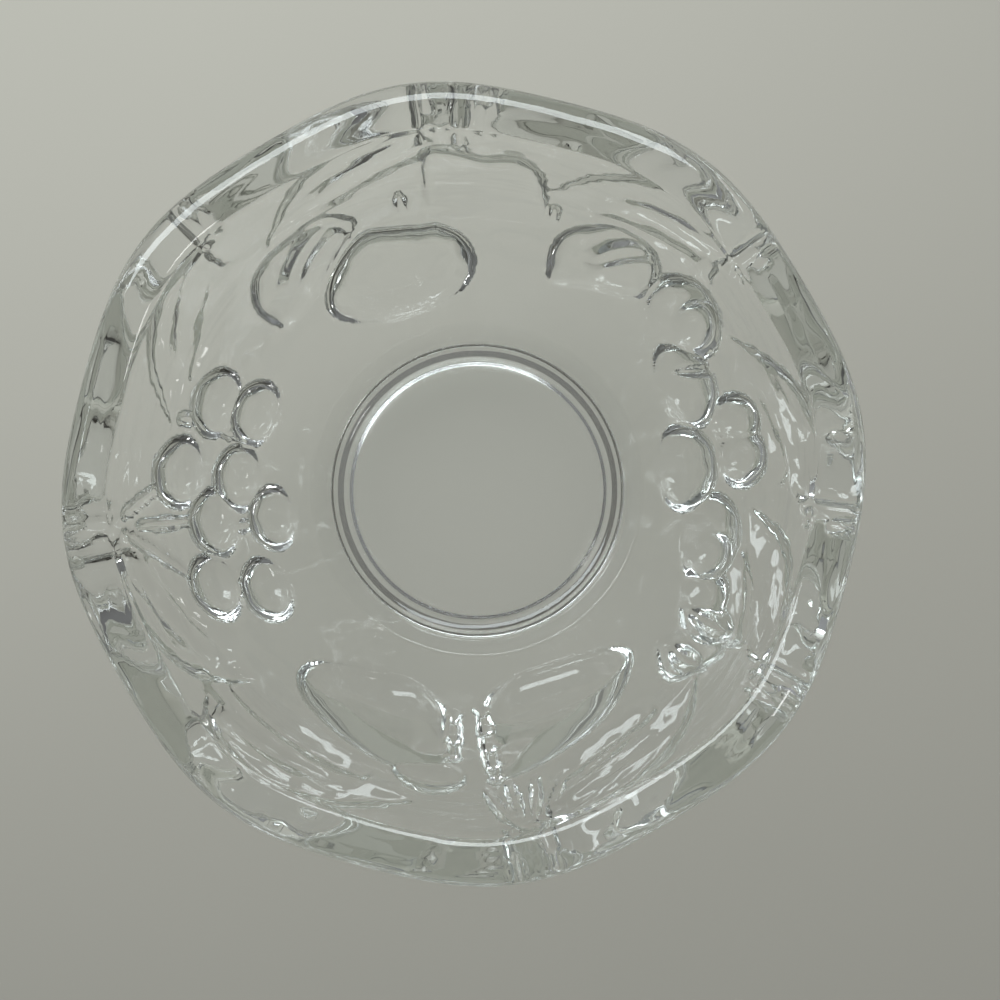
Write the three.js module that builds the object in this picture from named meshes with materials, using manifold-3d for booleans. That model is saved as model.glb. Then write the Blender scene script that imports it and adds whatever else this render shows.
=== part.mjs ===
// A pressed-glass votive candle holder: one piece of clear glass in the shape of a flared bowl,
// on a ring foot, with a thick scalloped rim and a garland of fruit and leaves raised on the
// outside of its wall. The inside is smooth, and a tea light or votive stands on its flat floor.
// Millimetres, +Z up, with the origin in the middle of the foot's underside. The garland's
// places are given in degrees round from +X and as shares of the wall's length up from the foot.

import * as THREE from 'three';
import { mergeVertices } from 'three/addons/utils/BufferGeometryUtils.js';
import Module from 'manifold-3d';

const wasm = await Module();
wasm.setup();

// Overall sizes
const height = 54;
const rimRadius = 51.3;
const footRadius = 25.8;

// Foot: a ring round a shallow recess, and the floor that the candle stands on
const footRingWidth = 5.2;
const footCorner = 1.8;
const recessDepth = 1.5;
const recessCorner = 0.7;
const floorThickness = 5;
const floorCorner = 1.2;

// Wall: a flaring curve from the heel, through the pull of the belly, to the shoulder of the rim
const heelFlare = 0.8;
const heelHeight = 4;
const heelCoveShare = 0.1;
const bellyFlare = 10.8;
const bellyHeight = 18;
const footWallThickness = 5.2;
const rimWallThickness = 6.6;

// Rim: a rounded lip whose edge waves in and out and up and down
const scallopCount = 8;
const scallopPhase = 8;
const scallopInset = 0.8;
const scallopDip = 1.1;
const lipOuterDrop = 3;
const lipOuterWidth = 3.2;
const lipInnerDrop = 1.5;

// Garland: how far each kind of motif stands out of the wall, and its size
const fruitRise = 3.3;
const budRise = 1.2;
const leafRise = 1.8;
const stalkRise = 1.3;
const grapeRadius = 5.5;
const plumRadius = 7;
const budHalfWidth = 5.6;
const budHalfHeight = 4;
const nibHalfWidth = 1;
const nibHalfHeight = 2.2;
const knotRadius = 3.6;
const knotRise = 1.3;
const stemHalfWidth = 1.2;
const stemRise = 1.2;
const neckSink = 0.3;
const leafHalfWidth = 6;
const stalkHalfWidth = 1.1;

// How finely curves are divided
const turnSteps = 72;
const wallSteps = 8;
const insideSteps = 7;
const lipSteps = 3;
const cornerSteps = 2;
const coveSteps = 4;
const fruitSteps = 12;
const knotSteps = 8;
const leafSteps = 8;
const leafSides = 6;
const halvings = 24;

const degree = Math.PI / 180;
const recessRadius = footRadius - footRingWidth;
const floorHeight = recessDepth + floorThickness;
const heelRadius = footRadius + heelFlare;
const bellyRadius = footRadius + bellyFlare;
const shoulderHeight = height - lipOuterDrop;

const wallCurve = new THREE.QuadraticBezierCurve(
  new THREE.Vector2(heelRadius, heelHeight),
  new THREE.Vector2(bellyRadius, bellyHeight),
  new THREE.Vector2(rimRadius, shoulderHeight),
);
const wallLength = wallCurve.getLength();

// A point of the wall's outer face, as radius and height, moved out of the glass by lift
function wallPoint(share, lift) {
  const held = THREE.MathUtils.clamp(share, 0, 1);
  const point = wallCurve.getPointAt(held);
  const along = wallCurve.getTangentAt(held);
  return new THREE.Vector2(point.x + along.y * lift, point.y - along.x * lift);
}

// A point of the wall's inner face, through the glass from that share of the outer face
function insidePoint(share) {
  return wallPoint(share, -THREE.MathUtils.lerp(footWallThickness, rimWallThickness, share));
}

// The share of the wall whose inner face lies at a given level, found by halving
function shareInsideAt(level) {
  let low = 0;
  let high = 1;
  for (let i = 0; i < halvings; i += 1) {
    const middle = (low + high) / 2;
    if (insidePoint(middle).y < level) {
      low = middle;
    } else {
      high = middle;
    }
  }
  return low;
}

// The rim's waves fade out down the wall; crests stay at full size and the rest draws in and dips
function scallop(point) {
  const turn = Math.atan2(point.y, point.x);
  const hollow = (1 - Math.cos(scallopCount * (turn - scallopPhase * degree))) / 2;
  const fade = THREE.MathUtils.smoothstep(point.z, bellyHeight, height);
  const radius = Math.hypot(point.x, point.y);
  if (radius > 0) {
    const drawn = (radius - scallopInset * hollow * fade) / radius;
    point.x *= drawn;
    point.y *= drawn;
  }
  point.z -= scallopDip * hollow * fade;
  return point;
}

// A place on the wall: degrees round, share of the wall's length, lift out of the glass as far as
// the rim's own radius
function onWall(turn, share, lift) {
  const foot = wallPoint(share, 0);
  const top = wallPoint(share, 1);
  const room = (rimRadius - foot.x) / (top.x - foot.x);
  const { x, y } = wallPoint(share, Math.min(lift, room));
  return scallop(new THREE.Vector3(x * Math.cos(turn * degree), x * Math.sin(turn * degree), y));
}

// The corners of a quarter round from one point to another, bulging towards the corner point
function quarterRound(from, corner, to, steps) {
  const points = [];
  for (let i = 0; i <= steps; i += 1) {
    const angle = (i / steps) * 90 * degree;
    const a = 1 - Math.sin(angle);
    const b = 1 - Math.cos(angle);
    points.push(new THREE.Vector2(
      corner.x + (from.x - corner.x) * a + (to.x - corner.x) * b,
      corner.y + (from.y - corner.y) * a + (to.y - corner.y) * b,
    ));
  }
  return points;
}

// A geometry's mesh without repeated corners, as a solid to join and cut
function solidOf(geometry) {
  geometry.deleteAttribute('normal');
  geometry.deleteAttribute('uv');
  const merged = mergeVertices(geometry);
  const index = merged.index.array;
  const triangles = [];
  for (let i = 0; i < index.length; i += 3) {
    const [a, b, c] = [index[i], index[i + 1], index[i + 2]];
    if (a !== b && b !== c && c !== a) {
      triangles.push(a, b, c);
    }
  }
  return new wasm.Manifold(new wasm.Mesh({
    numProp: 3,
    vertProperties: new Float32Array(merged.attributes.position.array),
    triVerts: new Uint32Array(triangles),
  }));
}

// Moves every corner of a geometry to where place says
function moved(geometry, place) {
  const position = geometry.attributes.position;
  const corner = new THREE.Vector3();
  for (let i = 0; i < position.count; i += 1) {
    corner.fromBufferAttribute(position, i);
    const target = place(corner);
    position.setXYZ(i, target.x, target.y, target.z);
  }
  return geometry;
}

// The bowl itself: foot, wall, lip and candle floor turned in one profile
function bowl() {
  const outside = [];
  for (let i = 0; i < wallSteps; i += 1) {
    outside.push(wallPoint(THREE.MathUtils.lerp(heelCoveShare, 1, i / wallSteps), 0));
  }
  const coveTop = outside[0];
  const along = wallCurve.getTangentAt(heelCoveShare);
  const cove = new THREE.QuadraticBezierCurve(
    new THREE.Vector2(footRadius, footCorner),
    new THREE.Vector2(footRadius, coveTop.y - ((coveTop.x - footRadius) * along.y) / along.x),
    coveTop,
  ).getPoints(coveSteps);
  const lipTop = new THREE.Vector2(rimRadius - lipOuterWidth, height);
  const lip = quarterRound(
    new THREE.Vector2(rimRadius, shoulderHeight),
    new THREE.Vector2(rimRadius, height),
    lipTop,
    lipSteps,
  );
  const topShare = shareInsideAt(height - lipInnerDrop);
  const bottomShare = shareInsideAt(floorHeight + floorCorner);
  const inside = [];
  for (let i = 0; i <= insideSteps; i += 1) {
    inside.push(insidePoint(THREE.MathUtils.lerp(topShare, bottomShare, i / insideSteps)));
  }
  const lipInside = quarterRound(
    lipTop,
    new THREE.Vector2(inside[0].x, height),
    inside[0],
    lipSteps,
  ).slice(1, -1);
  const wallFoot = inside[insideSteps];
  const floorRound = quarterRound(
    wallFoot,
    new THREE.Vector2(wallFoot.x - floorCorner / 2, floorHeight),
    new THREE.Vector2(wallFoot.x - floorCorner * 2, floorHeight),
    cornerSteps,
  ).slice(1);
  const profile = [
    new THREE.Vector2(0, recessDepth),
    ...quarterRound(
      new THREE.Vector2(recessRadius - recessCorner * 2, recessDepth),
      new THREE.Vector2(recessRadius, recessDepth),
      new THREE.Vector2(recessRadius, recessDepth - recessCorner),
      cornerSteps,
    ),
    new THREE.Vector2(recessRadius, 0),
    ...quarterRound(
      new THREE.Vector2(footRadius - footCorner, 0),
      new THREE.Vector2(footRadius, 0),
      new THREE.Vector2(footRadius, footCorner),
      cornerSteps,
    ),
    ...cove.slice(1, -1),
    ...outside,
    ...lip,
    ...lipInside,
    ...inside,
    ...floorRound,
    new THREE.Vector2(0, floorHeight),
  ];
  const geometry = new THREE.LatheGeometry(profile, turnSteps);
  geometry.rotateX(90 * degree);
  return solidOf(moved(geometry, scallop));
}

// A rounded fruit or knot: a ball flattened onto the wall, half of it sunk in the glass
function fruit([turn, share], halfWidth, halfHeight, rise, steps) {
  const ball = new THREE.SphereGeometry(1, steps, steps / 2);
  ball.rotateX(90 * degree);
  const radius = wallPoint(share, 0).x;
  return solidOf(moved(ball, (unit) => onWall(
    turn + (unit.x * halfWidth) / radius / degree,
    share + (unit.y * halfHeight) / wallLength,
    unit.z * rise,
  )));
}

// A leaf or stalk: a six-sided spindle with a ridge on top and upright edges, drawn out along a
// bowed line from its root to its tip, where pinch draws it in to a point
function blade([root, bow, tip], halfWidth, rise, pinch) {
  const spindle = new THREE.SphereGeometry(1, leafSides, leafSteps);
  spindle.rotateY((180 * degree) / leafSides);
  spindle.rotateZ(-90 * degree);
  const line = new THREE.QuadraticBezierCurve(
    new THREE.Vector2(...root),
    new THREE.Vector2(...bow),
    new THREE.Vector2(...tip),
  );
  return solidOf(moved(spindle, (unit) => {
    const along = (1 + unit.x) / 2;
    const point = line.getPoint(along);
    const slope = line.getTangent(along);
    const radius = wallPoint(point.y, 0).x;
    const forward = new THREE.Vector2(slope.x * degree * radius, slope.y * wallLength).normalize();
    const aside = unit.y * halfWidth * (1 - pinch * along ** 3);
    return onWall(
      point.x - (forward.y * aside) / radius / degree,
      point.y + (forward.x * aside) / wallLength,
      unit.z * rise,
    );
  }));
}

// A fruit or broad leaf with a drawn outline, whose rings close in on its middle as they rise. A
// neck's two shares say where on the wall it has sunk right in and where it stands out in full
function outlined(middle, outline, rise, neck) {
  const ball = new THREE.SphereGeometry(1, fruitSteps, fruitSteps / 2);
  ball.rotateX(90 * degree);
  const edge = new THREE.CatmullRomCurve3(
    outline.map(([turn, share]) => new THREE.Vector3(turn, share, 0)),
    true,
  );
  return solidOf(moved(ball, (unit) => {
    const reach = Math.hypot(unit.x, unit.y);
    const round = (Math.atan2(unit.y, unit.x) / (2 * Math.PI) + 1) % 1;
    const point = edge.getPoint(round);
    const share = THREE.MathUtils.lerp(middle[1], point.y, reach);
    const full = neck ? THREE.MathUtils.clamp((neck[0] - share) / (neck[0] - neck[1]), 0, 1) : 1;
    const shown = unit.z > 0 ? full : 1;
    return onWall(
      THREE.MathUtils.lerp(middle[0], point.x, reach),
      share,
      unit.z * rise * shown - neckSink * (1 - full),
    );
  }));
}

const grapeShares = [
  [161.7, 0.540], [177.3, 0.636], [161.1, 0.363], [177.6, 0.385],
  [188.0, 0.492], [201.9, 0.568], [188.3, 0.240], [206.6, 0.363],
];

// Plums, some with a second lobe over the first: place, then the half width and half height as
// shares of the plum's radius, and the share of the rise
const plumShares = [
  [38.0, 0.575, 1.00, 1.17, 0.9], [35.4, 0.570, 0.66, 0.99, 1.3],
  [25.6, 0.400, 1.03, 1.06, 1.0],
  [13.8, 0.570, 0.60, 0.84, 1.0], [6.0, 0.565, 0.67, 0.87, 1.1],
  [5.4, 0.290, 1.03, 1.14, 1.0],
  [347.6, 0.440, 1.04, 1.09, 0.9], [344.4, 0.440, 0.70, 0.86, 1.3],
  [335.6, 0.500, 0.61, 0.89, 0.9],
];

// Marks beside the upper apple
const nibShares = [
  [103.3, 0.625], [71.9, 0.600],
];

const budShares = [
  [262.5, 0.655],
];

// Apples and pears: the middle, the outline, counter-clockwise as seen from outside the bowl, and
// the neck of those that sink into the wall
const outlinedFruit = [
  {
    middleShares: [87, 0.65],
    outlineShares: [
      [98.4, 0.60], [98.5, 0.70], [98.4, 0.79], [96.8, 0.83], [92.7, 0.838], [86.9, 0.808],
      [80.8, 0.83], [76.5, 0.79], [74.6, 0.72], [74.0, 0.62], [75.5, 0.52], [80, 0.46],
      [87, 0.44], [94, 0.46], [97.5, 0.52],
    ],
    neckShares: [0.56, 0.80],
  },
  {
    middleShares: [108, 0.37],
    outlineShares: [
      [128.3, 0.30], [128.6, 0.37], [126.3, 0.43], [122.3, 0.49], [117.8, 0.54], [112.6, 0.572],
      [108.6, 0.555], [102.2, 0.525], [98.3, 0.52], [95.2, 0.505], [91.5, 0.46], [89.3, 0.38],
      [90.0, 0.29], [94, 0.21], [101, 0.165], [109, 0.15], [118, 0.17], [125, 0.23],
    ],
  },
  {
    middleShares: [248, 0.42],
    outlineShares: [
      [265.5, 0.44], [266.8, 0.55], [262.5, 0.64], [255, 0.655], [247, 0.62], [238, 0.575],
      [231, 0.535], [227, 0.46], [229, 0.36], [238, 0.27], [252, 0.235], [262, 0.31],
    ],
    neckShares: [0.70, 0.45],
  },
  {
    middleShares: [293, 0.38],
    outlineShares: [
      [314, 0.35], [310, 0.435], [300, 0.55], [290, 0.605], [283, 0.64], [277.5, 0.66],
      [275, 0.60], [273.8, 0.48], [272.3, 0.34], [275.5, 0.24], [284, 0.18], [298, 0.19],
      [309, 0.25],
    ],
    neckShares: [0.70, 0.45],
  },
];

// Broad leaves among the fruit: the middle, the outline, and the share of a leaf's rise
const broadLeaves = [
  {
    middleShares: [59, 0.52],
    outlineShares: [
      [50.5, 0.67], [47.4, 0.60], [47.0, 0.51], [50, 0.44], [59, 0.375], [69.5, 0.32],
      [71.2, 0.475], [68.4, 0.58], [62, 0.655], [56.6, 0.676],
    ],
    riseShare: 1,
  },
  {
    middleShares: [127, 0.58],
    outlineShares: [
      [113, 0.633], [119.5, 0.535], [129, 0.455], [138.8, 0.43], [140.4, 0.553],
      [137.7, 0.645], [133.4, 0.69], [124.1, 0.72], [117.4, 0.705],
    ],
    riseShare: 1,
  },
  {
    middleShares: [322, 0.56],
    outlineShares: [
      [327.1, 0.705], [322, 0.665], [316.2, 0.60], [316.2, 0.515], [320, 0.43],
      [325, 0.46], [328.5, 0.55], [330, 0.64],
    ],
    riseShare: 1,
  },
  {
    middleShares: [330, 0.55],
    outlineShares: [
      [329, 0.68], [325.2, 0.60], [325.2, 0.50], [331, 0.405], [334.6, 0.49], [334.8, 0.60],
      [332, 0.68],
    ],
    riseShare: 1.5,
  },
];

// Leaves under the rim: root, bow and tip of each
const leafShares = [
  [[-3, 0.86], [13, 0.82], [30.5, 0.69]],
  [[40, 0.88], [58, 0.84], [75.8, 0.705]],
  [[97, 0.89], [114, 0.85], [131, 0.725]],
  [[138, 0.87], [153, 0.82], [169.5, 0.695]],
  [[191.5, 0.87], [210, 0.83], [223.6, 0.62]],
  [[222, 0.83], [241, 0.86], [262, 0.775]],
  [[284.5, 0.84], [304, 0.82], [321.5, 0.655]],
  [[329, 0.84], [345, 0.80], [356, 0.60]],
];

const stalkShares = [
  [[187.3, 0.81], [187.2, 0.70], [187.2, 0.57]],
  [[185.9, 0.87], [183.2, 0.785], [179.0, 0.68]],
  [[187.6, 0.87], [190.6, 0.77], [199.0, 0.635]],
  [[280, 0.93], [277, 0.86], [274.0, 0.79]],
  [[281, 0.93], [279.5, 0.85], [278.4, 0.76]],
  [[281, 0.93], [282.5, 0.85], [283.2, 0.76]],
  [[282, 0.93], [286, 0.86], [288.5, 0.78]],
  [[90.5, 0.93], [90.0, 0.88], [91.0, 0.80]],
  [[40, 0.93], [44, 0.83], [42, 0.72]],
  [[328, 0.93], [334, 0.80], [346, 0.60]],
];

// Stems between the pears: root, bow and tip of each
const stemShares = [
  [[275.8, 0.66], [274.5, 0.50], [272.1, 0.33]],
  [[266.6, 0.56], [266.2, 0.46], [265.6, 0.36]],
];

// Twists of stem where the leaves spring from, at the rim
const knotShares = [
  [357, 0.92], [40, 0.92], [89, 0.93], [138, 0.93], [187.5, 0.93], [234, 0.91], [281, 0.91],
  [328, 0.91],
];

const motifs = [];
for (const place of grapeShares) {
  motifs.push(fruit(place, grapeRadius, grapeRadius, fruitRise, fruitSteps));
}
for (const [turn, share, widthShare, heightShare, riseShare] of plumShares) {
  motifs.push(fruit(
    [turn, share],
    plumRadius * widthShare,
    plumRadius * heightShare,
    fruitRise * riseShare,
    fruitSteps,
  ));
}
for (const place of budShares) {
  motifs.push(fruit(place, budHalfWidth, budHalfHeight, budRise, knotSteps));
}
for (const place of nibShares) {
  motifs.push(fruit(place, nibHalfWidth, nibHalfHeight, nibHalfWidth, knotSteps));
}
for (const place of knotShares) {
  motifs.push(fruit(place, knotRadius, knotRadius, knotRise, knotSteps));
}
for (const { middleShares, outlineShares, neckShares } of outlinedFruit) {
  motifs.push(outlined(middleShares, outlineShares, fruitRise, neckShares));
}
for (const { middleShares, outlineShares, riseShare } of broadLeaves) {
  motifs.push(outlined(middleShares, outlineShares, leafRise * riseShare));
}
for (const line of leafShares) {
  motifs.push(blade(line, leafHalfWidth, leafRise, 1));
}
for (const line of stalkShares) {
  motifs.push(blade(line, stalkHalfWidth, stalkRise, 0));
}
for (const line of stemShares) {
  motifs.push(blade(line, stemHalfWidth, stemRise, 0));
}

let glass = bowl();
for (const motif of motifs) {
  glass = glass.add(motif);
}

const mesh = glass.getMesh();
const glassGeometry = new THREE.BufferGeometry();
glassGeometry.setAttribute('position', new THREE.BufferAttribute(mesh.vertProperties, mesh.numProp));
glassGeometry.setIndex(new THREE.BufferAttribute(mesh.triVerts, 1));
glassGeometry.computeVertexNormals();

const clearGlass = new THREE.MeshStandardMaterial({
  color: 0xdfe6e3,
  roughness: 0.05,
  metalness: 0,
});

const glassBowl = new THREE.Mesh(glassGeometry, clearGlass);
glassBowl.name = 'glass_bowl';

const holder = new THREE.Group();
holder.add(glassBowl);

export default holder;
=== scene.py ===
import math

import bpy
import numpy as np
from bpy.props import FloatProperty, FloatVectorProperty, IntProperty, PointerProperty
from bpy.types import Operator, Panel, PropertyGroup
from mathutils import Matrix, Vector


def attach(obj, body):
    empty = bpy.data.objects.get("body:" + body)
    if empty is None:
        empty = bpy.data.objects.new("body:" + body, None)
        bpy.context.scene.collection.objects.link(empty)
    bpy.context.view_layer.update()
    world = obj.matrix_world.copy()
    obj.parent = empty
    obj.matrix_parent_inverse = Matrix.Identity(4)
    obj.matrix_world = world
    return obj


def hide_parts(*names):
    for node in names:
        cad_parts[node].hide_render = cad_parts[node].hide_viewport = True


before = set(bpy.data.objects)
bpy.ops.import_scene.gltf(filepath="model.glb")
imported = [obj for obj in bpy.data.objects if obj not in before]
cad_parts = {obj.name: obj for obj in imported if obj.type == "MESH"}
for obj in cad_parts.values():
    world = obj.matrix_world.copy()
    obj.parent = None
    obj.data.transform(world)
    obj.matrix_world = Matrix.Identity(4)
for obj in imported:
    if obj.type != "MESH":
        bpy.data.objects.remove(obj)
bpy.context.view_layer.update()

bl_info = {
    "name": "Pressed Glass Candle Holder",
    "version": (1, 0, 0),
    "blender": (4, 5, 0),
    "location": "View3D > Sidebar > Candle Holder",
    "description": "A clear pressed-glass votive holder with a fruit garland, and its stage",
    "category": "Object",
}

NODE = "glass_bowl"
MM = 0.001
QUARTER_TURN = math.pi / 2
FULL_TURN = 2 * math.pi
# Points closer than this are one point
SAME_PLACE = MM / 50
# A width that is never zero, to divide by
LEAST_WIDTH = 1e-9
# Shares of the wall's length, from the heel to the shoulder: where the cove under the wall ends, how
# far under the lip the garland fades out, and how close two shares are that mean one place
HEEL_COVE_SHARE = 0.1
LIP_FADE_SHARE = 0.03
SAME_SHARE = 0.001
# Steps of the half section
CORNER_STEPS = 5
COVE_STEPS = 12
LIP_STEPS = 7
INSIDE_STEPS = 16
# Steps along a line of the garland, and between two points of a drawn outline
LINE_STEPS = 32
OUTLINE_STEPS = 8

# The garland. A place is degrees round from +X, then the share of the wall's length from the heel, and
# a line is its start, the place that it is pulled towards and its end
GRAPE_SHARES = (
    (161.7, 0.540), (177.3, 0.636), (161.1, 0.363), (177.6, 0.385),
    (188.0, 0.492), (201.9, 0.568), (188.3, 0.240), (206.6, 0.363),
)
# Plums, some with a second lobe over the first: place, then half width and half height as shares of
# the plum's radius, and the share of the rise
PLUM_SHARES = (
    (38.0, 0.575, 1.00, 1.17, 0.9), (35.4, 0.570, 0.66, 0.99, 1.3),
    (25.6, 0.400, 1.03, 1.06, 1.0),
    (13.8, 0.570, 0.60, 0.84, 1.0), (6.0, 0.565, 0.67, 0.87, 1.1),
    (5.4, 0.290, 1.03, 1.14, 1.0),
    (347.6, 0.440, 1.04, 1.09, 0.9), (344.4, 0.440, 0.70, 0.86, 1.3),
    (335.6, 0.500, 0.61, 0.89, 0.9),
)
CLEFT_SHARES = (
    ((25.4, 0.555), (26.6, 0.47), (29.4, 0.36)),
)
# Pears and apples: the middle, the two shares between which some sink into the wall, and the outline
PEAR_SHARES = (
    ((248, 0.42), (0.76, 0.38), ((265.5, 0.44), (266.8, 0.55), (262.5, 0.64), (255, 0.655), (247, 0.62),
                                 (238, 0.575), (231, 0.535), (227, 0.46), (229, 0.36), (238, 0.27),
                                 (252, 0.235), (262, 0.31))),
    ((293, 0.38), (0.76, 0.38), ((314, 0.35), (310, 0.435), (300, 0.55), (290, 0.605), (283, 0.64),
                                 (277.5, 0.66), (275, 0.60), (273.8, 0.48), (272.3, 0.34), (275.5, 0.24),
                                 (284, 0.18), (298, 0.19), (309, 0.25))),
)
APPLE_SHARES = (
    ((87, 0.65), (0.56, 0.80), ((98.4, 0.60), (98.5, 0.70), (98.4, 0.79), (96.8, 0.83), (92.7, 0.838),
                                (86.9, 0.808), (80.8, 0.83), (76.5, 0.79), (74.6, 0.72), (74.0, 0.62),
                                (75.5, 0.52), (80, 0.46), (87, 0.44), (94, 0.46), (97.5, 0.52))),
    ((108, 0.37), None, ((128.3, 0.30), (128.6, 0.37), (126.3, 0.43), (122.3, 0.49), (117.8, 0.54),
                         (112.6, 0.572), (108.6, 0.555), (102.2, 0.525), (98.3, 0.52), (95.2, 0.505),
                         (91.5, 0.46), (89.3, 0.38), (90.0, 0.29), (94, 0.21), (101, 0.165),
                         (109, 0.15), (118, 0.17), (125, 0.23))),
)
BUD_SHARES = ((262.5, 0.655),)
# Broad leaves among the fruit, each with its outline and its share of the rise
BROAD_LEAF_SHARES = (
    ((59, 0.52), 1.0, ((50.5, 0.67), (47.4, 0.60), (47.0, 0.51), (50, 0.44), (59, 0.375), (69.5, 0.32),
                       (71.2, 0.475), (68.4, 0.58), (62, 0.655), (56.6, 0.676))),
    ((127, 0.58), 1.0, ((113, 0.633), (117.4, 0.705), (124.1, 0.72), (133.4, 0.69), (137.7, 0.645),
                        (140.4, 0.553), (138.8, 0.43), (129, 0.455), (119.5, 0.535))),
    ((322, 0.56), 1.0, ((327.1, 0.705), (322, 0.665), (316.2, 0.60), (316.2, 0.515), (320, 0.43),
                        (325, 0.46), (328.5, 0.55), (330, 0.64))),
    ((330, 0.55), 1.5, ((329, 0.68), (325.2, 0.60), (325.2, 0.50), (331, 0.405), (334.6, 0.49),
                        (334.8, 0.60), (332, 0.68))),
)
VEIN_SHARES = (
    ((330.5, 0.64), (330.5, 0.55), (330.5, 0.45)), ((322.5, 0.63), (320.5, 0.56), (321.5, 0.47)),
)
# Folds of the leaves, steep towards the rim: start, middle and end, and the share of a fold's size
FOLD_SHARES = (
    ((50.8, 0.645), (56.4, 0.54), (62.5, 0.42), 1.0), ((53.0, 0.66), (58.4, 0.59), (63.5, 0.47), 0.8),
    ((119.9, 0.69), (127.3, 0.62), (134.0, 0.53), 0.8),
    ((117.5, 0.645), (125.2, 0.575), (131.5, 0.50), 1.0),
    ((41.2, 0.817), (51.1, 0.752), (64.5, 0.716), 1.0), ((41.5, 0.858), (52.3, 0.809), (66.0, 0.734), 0.7),
    ((1.4, 0.787), (11.7, 0.727), (20.9, 0.715), 0.7), ((8.3, 0.856), (16.5, 0.793), (25.9, 0.722), 0.7),
    ((140.2, 0.837), (148.2, 0.743), (159.7, 0.703), 0.9),
    ((140.0, 0.887), (150.1, 0.811), (158.5, 0.735), 0.7),
    ((96.5, 0.831), (108.9, 0.763), (123.2, 0.750), 1.0),
    ((95.5, 0.884), (107.6, 0.829), (121.4, 0.796), 0.7),
    ((193.4, 0.819), (205.0, 0.740), (217.0, 0.674), 0.8),
    ((195.5, 0.848), (207.2, 0.800), (216.2, 0.730), 0.8),
    ((220.5, 0.765), (235.8, 0.733), (250.9, 0.770), 1.0),
    ((217.2, 0.820), (231.0, 0.793), (245.1, 0.807), 0.7),
    ((287.7, 0.755), (299.2, 0.697), (310.2, 0.675), 0.8),
    ((288.8, 0.784), (299.3, 0.725), (307.4, 0.699), 0.7),
    ((329.9, 0.757), (338.0, 0.697), (347.3, 0.633), 1.0),
    ((330.9, 0.791), (338.5, 0.728), (345.2, 0.662), 0.7),
)
# Small marks beside the upper apple and at the roots of two leaves: the place, then half width and half
# height as shares of a mark's size
MARK_SHARES = (
    ((103.4, 0.650), 0.7, 2.2), ((72.4, 0.630), 0.75, 1.9),
    ((138.9, 0.815), 0.9, 2.4), ((41.3, 0.795), 0.9, 2.2),
)
# Lines along the root half of a rim leaf, as shares of its half width above its middle, and the share of
# its length where they end
LEAF_LINE_SHARES = (-0.35, 0.2, 0.6)
LEAF_LINE_END_SHARE = 0.75
LEAF_SHARES = (
    ((-3, 0.86), (13, 0.82), (30.5, 0.69)),
    ((40, 0.88), (58, 0.84), (75.8, 0.705)),
    ((97, 0.89), (114, 0.85), (131, 0.725)),
    ((138, 0.87), (153, 0.82), (169.5, 0.695)),
    ((191.5, 0.87), (210, 0.83), (223.6, 0.62)),
    ((222, 0.83), (241, 0.86), (262, 0.775)),
    ((284.5, 0.84), (304, 0.82), (321.5, 0.655)),
    ((329, 0.84), (345, 0.80), (356, 0.60)),
)
STALK_SHARES = (
    ((187.3, 0.81), (187.2, 0.70), (187.2, 0.57)),
    ((185.9, 0.87), (183.2, 0.785), (179.0, 0.68)),
    ((187.6, 0.87), (190.6, 0.77), (199.0, 0.635)),
    ((280.5, 0.90), (277, 0.80), (273.6, 0.70)),
    ((281, 0.90), (279.5, 0.79), (278.0, 0.67)),
    ((281.5, 0.90), (282.9, 0.79), (283.4, 0.67)),
    ((282, 0.90), (286.4, 0.80), (289.2, 0.69)),
    ((90.5, 0.93), (90.0, 0.88), (91.0, 0.80)),
    ((40, 0.93), (44, 0.83), (42, 0.72)),
    ((328, 0.93), (334, 0.80), (346, 0.60)),
    ((166.8, 0.69), (166.8, 0.65), (166.4, 0.60)),
    ((189.7, 0.44), (189.6, 0.39), (189.2, 0.32)),
    ((205.5, 0.49), (203.0, 0.465), (202.4, 0.43)),
    ((167.6, 0.485), (167.4, 0.45), (167.2, 0.40)),
)
KNOT_SHARES = (
    (357, 0.92), (40, 0.92), (89, 0.93), (138, 0.93),
    (187.5, 0.93), (234, 0.91), (281, 0.91), (328, 0.91),
)
# Beaded stems between the pears: root, bow and tip, and the number of beads
STEM_SHARES = (
    (((275.8, 0.66), (274.5, 0.50), (272.1, 0.33)), 5),
    (((266.6, 0.56), (266.2, 0.46), (265.6, 0.36)), 3),
)
# The unevenness of the relief is one wave and the product of two more, each with its way round and up
GRAIN_LEANS = ((1.0, 0.37), (-0.52, 0.83), (0.61, 0.0))
# Size of the flow lines across the height as a share of their size along the rim
FLOW_STRETCH = 0.12
# A knot's lumps lie on a spiral round its middle, and shrink towards its edge
KNOT_LUMPS = 13
LUMP_TURN = 137.5
LUMP_SIZE_SHARES = (0.36, 0.22)


def length(name, text, value):
    """A length property, in metres."""
    return FloatProperty(name=name, description=text, default=value, min=0, unit="LENGTH", precision=4)


def position(name, text, value):
    """A place property, in metres."""
    return FloatVectorProperty(
        name=name, description=text, default=value, subtype="TRANSLATION", unit="LENGTH", precision=4)


def two_lengths(name, text, value):
    """A property of two lengths, in metres."""
    return FloatVectorProperty(
        name=name, description=text, default=value, size=2, unit="LENGTH", precision=4)


def colour(name, text, value):
    return FloatVectorProperty(name=name, description=text, default=value, subtype="COLOR")


def wattage(name, text, value):
    return FloatProperty(name=name, description=text, default=value, min=0, unit="POWER")


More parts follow.
